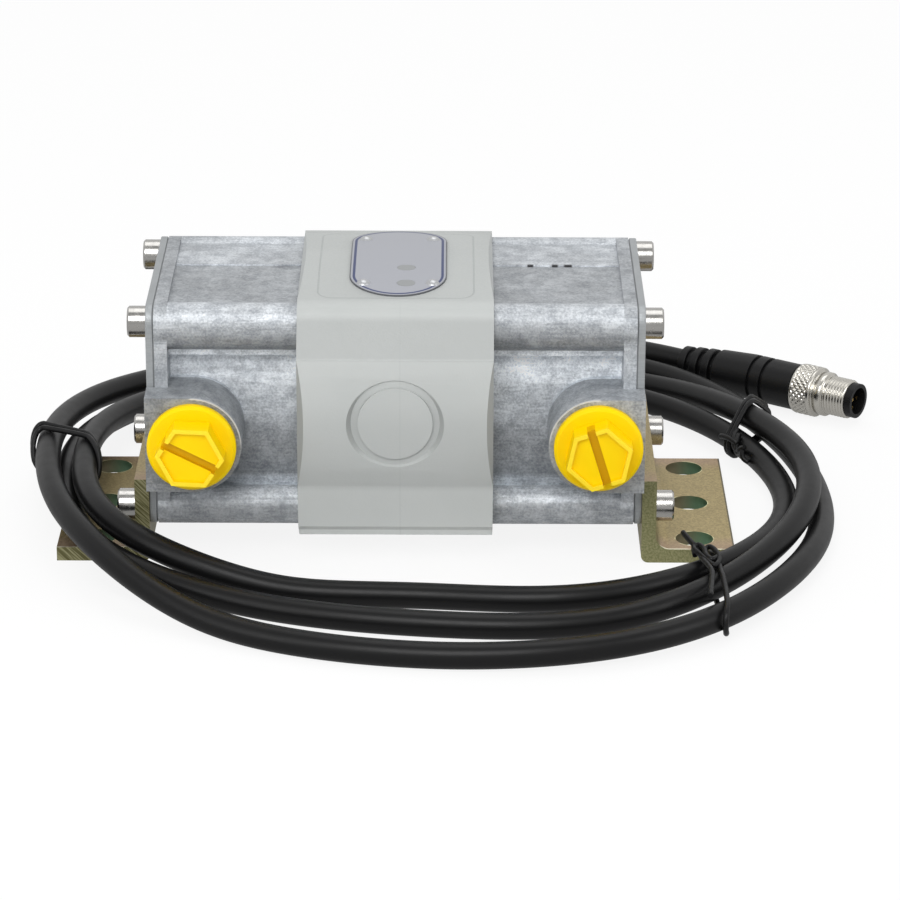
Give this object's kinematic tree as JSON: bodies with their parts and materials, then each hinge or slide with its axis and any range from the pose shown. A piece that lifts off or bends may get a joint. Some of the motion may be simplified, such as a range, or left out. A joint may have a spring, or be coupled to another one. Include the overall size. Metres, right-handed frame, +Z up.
{
  "type": "fuel flow meter",
  "caption": "Gear-type diesel flow meter with plugged ports, a clamp cover, foot brackets and a coiled sensor lead with a round connector.",
  "frame": {"origin": "on the floor under the middle of the meter's body, between the two foot brackets", "axes": "+X along the meter from the left casting to the right casting as the picture shows it, +Z up, -Y towards the front plugs"},
  "size_m": [0.2471, 0.2486, 0.0779],
  "materials": {
    "cast_alloy": "bead-blasted cast",
    "plate_alloy": "milled",
    "seal_rubber": "matt",
    "passivated_steel": "yellow passivated zinc",
    "stainless": "bright",
    "driver_polymer": "moulded",
    "idler_polymer": "moulded",
    "magnet": "plated",
    "cover_paint": "fine matt texture",
    "label_metal": "printed matt",
    "lens_smoke": "gloss",
    "board_green": "solder mask",
    "sensor_black": "potted",
    "plug_yellow": "satin moulded",
    "gland_black": "moulded",
    "cable_jacket": "satin",
    "connector_black": "satin moulded",
    "nickel": "nickel plated",
    "contact_gold": "gold plated",
    "tie_wire": "coated wire"
  },
  "bodies": {
    "meter": {"left_casting": "cast_alloy", "right_casting": "cast_alloy", "left_end_plate": "plate_alloy", "right_end_plate": "plate_alloy", "left_end_seal": "seal_rubber", "right_end_seal": "seal_rubber", "centre_gasket": "seal_rubber", "left_bracket": "passivated_steel", "right_bracket": "passivated_steel", "left_end_screws": "stainless", "right_end_screws": "stainless", "cover_screws": "stainless", "left_gear_pins": "stainless", "right_gear_pins": "stainless", "nameplate_rivets": "stainless", "front_cover": "cover_paint", "rear_cover": "cover_paint", "nameplate": "label_metal", "indicator_lenses": "lens_smoke", "circuit_board": "board_green", "pickup_sensors": "sensor_black", "cable_gland": "gland_black", "cable_lead": "cable_jacket", "cable_coil": "cable_jacket", "cable_tail": "cable_jacket", "connector_grip": "connector_black", "connector_insert": "connector_black", "connector_pins": "contact_gold", "left_tie": "tie_wire", "rear_tie": "tie_wire", "front_tie": "tie_wire"},
    "left_driver": {"left_driver_gear": "driver_polymer", "left_gear_magnets": "magnet"},
    "left_idler": {"left_idler_gear": "idler_polymer"},
    "right_driver": {"right_driver_gear": "driver_polymer", "right_gear_magnets": "magnet"},
    "right_idler": {"right_idler_gear": "idler_polymer"},
    "left_front_port_plug": {"left_front_plug": "plug_yellow"},
    "right_front_port_plug": {"right_front_plug": "plug_yellow"},
    "left_rear_port_plug": {"left_rear_plug": "plug_yellow"},
    "right_rear_port_plug": {"right_rear_plug": "plug_yellow"},
    "coupling": {"coupling_screw": "nickel"}
  },
  "joints": [
    {"name": "left_driver_spin", "type": "hinge", "parent": "meter", "child": "left_driver", "pos_m": [-0.054, 0, 0.027], "axis": [1, 0, 0], "continuous": true},
    {"name": "left_idler_spin", "type": "hinge", "parent": "meter", "child": "left_idler", "pos_m": [-0.054, 0, 0.048], "axis": [1, 0, 0], "continuous": true},
    {"name": "right_driver_spin", "type": "hinge", "parent": "meter", "child": "right_driver", "pos_m": [0.054, 0, 0.027], "axis": [1, 0, 0], "continuous": true},
    {"name": "right_idler_spin", "type": "hinge", "parent": "meter", "child": "right_idler", "pos_m": [0.054, 0, 0.048], "axis": [1, 0, 0], "continuous": true},
    {"name": "left_front_plug_out", "type": "slide", "parent": "meter", "child": "left_front_port_plug", "axis": [0, -1, 0], "range_m": [0, 0.016]},
    {"name": "right_front_plug_out", "type": "slide", "parent": "meter", "child": "right_front_port_plug", "axis": [0, -1, 0], "range_m": [0, 0.016]},
    {"name": "left_rear_plug_out", "type": "slide", "parent": "meter", "child": "left_rear_port_plug", "axis": [0, 1, 0], "range_m": [0, 0.016]},
    {"name": "right_rear_plug_out", "type": "slide", "parent": "meter", "child": "right_rear_port_plug", "axis": [0, 1, 0], "range_m": [0, 0.016]},
    {"name": "coupling_spin", "type": "hinge", "parent": "meter", "child": "coupling", "pos_m": [0.088, 0.1095, 0.00775], "axis": [0.8192, -0.5736, 0], "continuous": true}
  ],
  "couplings": [
    {"joint": "left_idler_spin", "follows": "left_driver_spin", "ratio": -1},
    {"joint": "right_idler_spin", "follows": "right_driver_spin", "ratio": -1}
  ]
}
